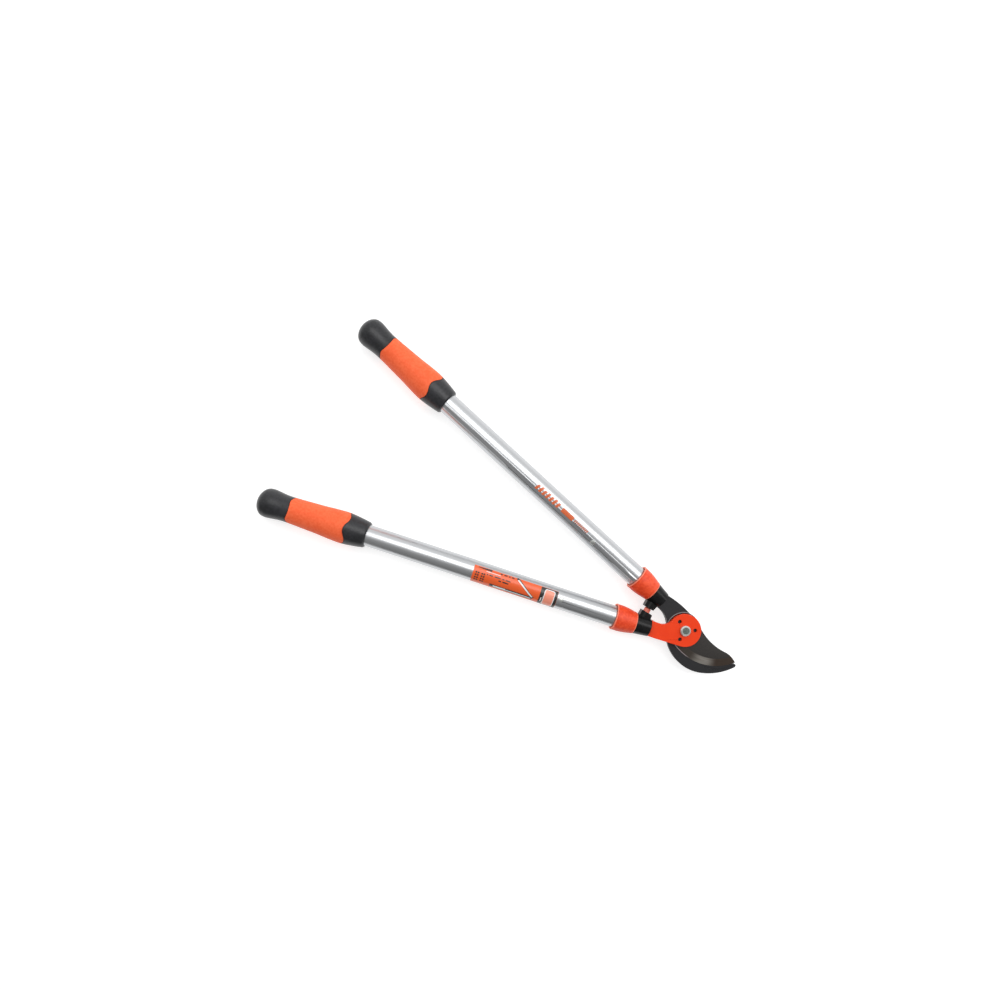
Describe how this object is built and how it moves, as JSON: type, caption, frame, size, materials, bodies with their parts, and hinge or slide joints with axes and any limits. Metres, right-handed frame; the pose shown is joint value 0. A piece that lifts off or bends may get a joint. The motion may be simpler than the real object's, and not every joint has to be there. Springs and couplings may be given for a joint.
{
  "type": "bypass loppers",
  "caption": "Two-handed bypass loppers: a hooked jaw and a curved cutting blade on one pivot bolt, tubular handles with moulded grips and a rubber end stop.",
  "frame": {"origin": "on the pivot axis, at the flat rear end of the pivot bolt; the tubes' axes lie in the plane 15.5 mm above it", "axes": "+X from the pivot towards the jaws along the line midway between the closed handles, +Y towards the handle of the hooked jaw, +Z along the pivot axis towards the bolt's head and the cutting blade"},
  "size_m": [0.7357, 0.3376, 0.0476],
  "materials": {
    "tube_aluminium": "satin anodised, fine lengthwise drawing lines",
    "black_steel": "forged and coated, semi-matt black",
    "blade_steel": "black coated flat with a ground grey-brown bevel",
    "red_paint": "gloss powder coat",
    "red_plastic": "moulded, fine spark texture",
    "black_plastic": "moulded, slightly glossy",
    "grip_black": "moulded, fine grain",
    "grip_orange": "soft, matt",
    "zinc": "zinc plated",
    "bumper_rubber": "soft, satin",
    "nylon": "plain",
    "label_film": "printed gloss film"
  },
  "bodies": {
    "hook_side": {"hook_jaw": "black_steel", "upper_tube": "tube_aluminium", "upper_ferrule": "red_plastic", "upper_bumper_collar": "black_plastic", "upper_tang_plug": "black_plastic", "upper_tang_rivet": "zinc", "upper_grip_core": "grip_black", "upper_grip_sleeve": "grip_orange"},
    "blade_side": {"blade_arm": "red_paint", "cutting_blade": "blade_steel", "blade_pins": "black_steel", "pivot_bolt": "zinc", "pivot_washer": "zinc", "lock_nut": "zinc", "nut_insert": "nylon", "lower_tube": "tube_aluminium", "lower_ferrule": "red_plastic", "lower_bumper_collar": "black_plastic", "rubber_bumper": "bumper_rubber", "lower_tang_plug": "black_plastic", "lower_tang_rivet": "zinc", "lower_grip_core": "grip_black", "lower_grip_sleeve": "grip_orange", "tube_label": "label_film"}
  },
  "joints": [
    {"name": "jaw_pivot", "type": "hinge", "parent": "hook_side", "child": "blade_side", "pos_m": [0, 0, 0], "axis": [0, 0, 1], "range_deg": [0, 60]}
  ]
}
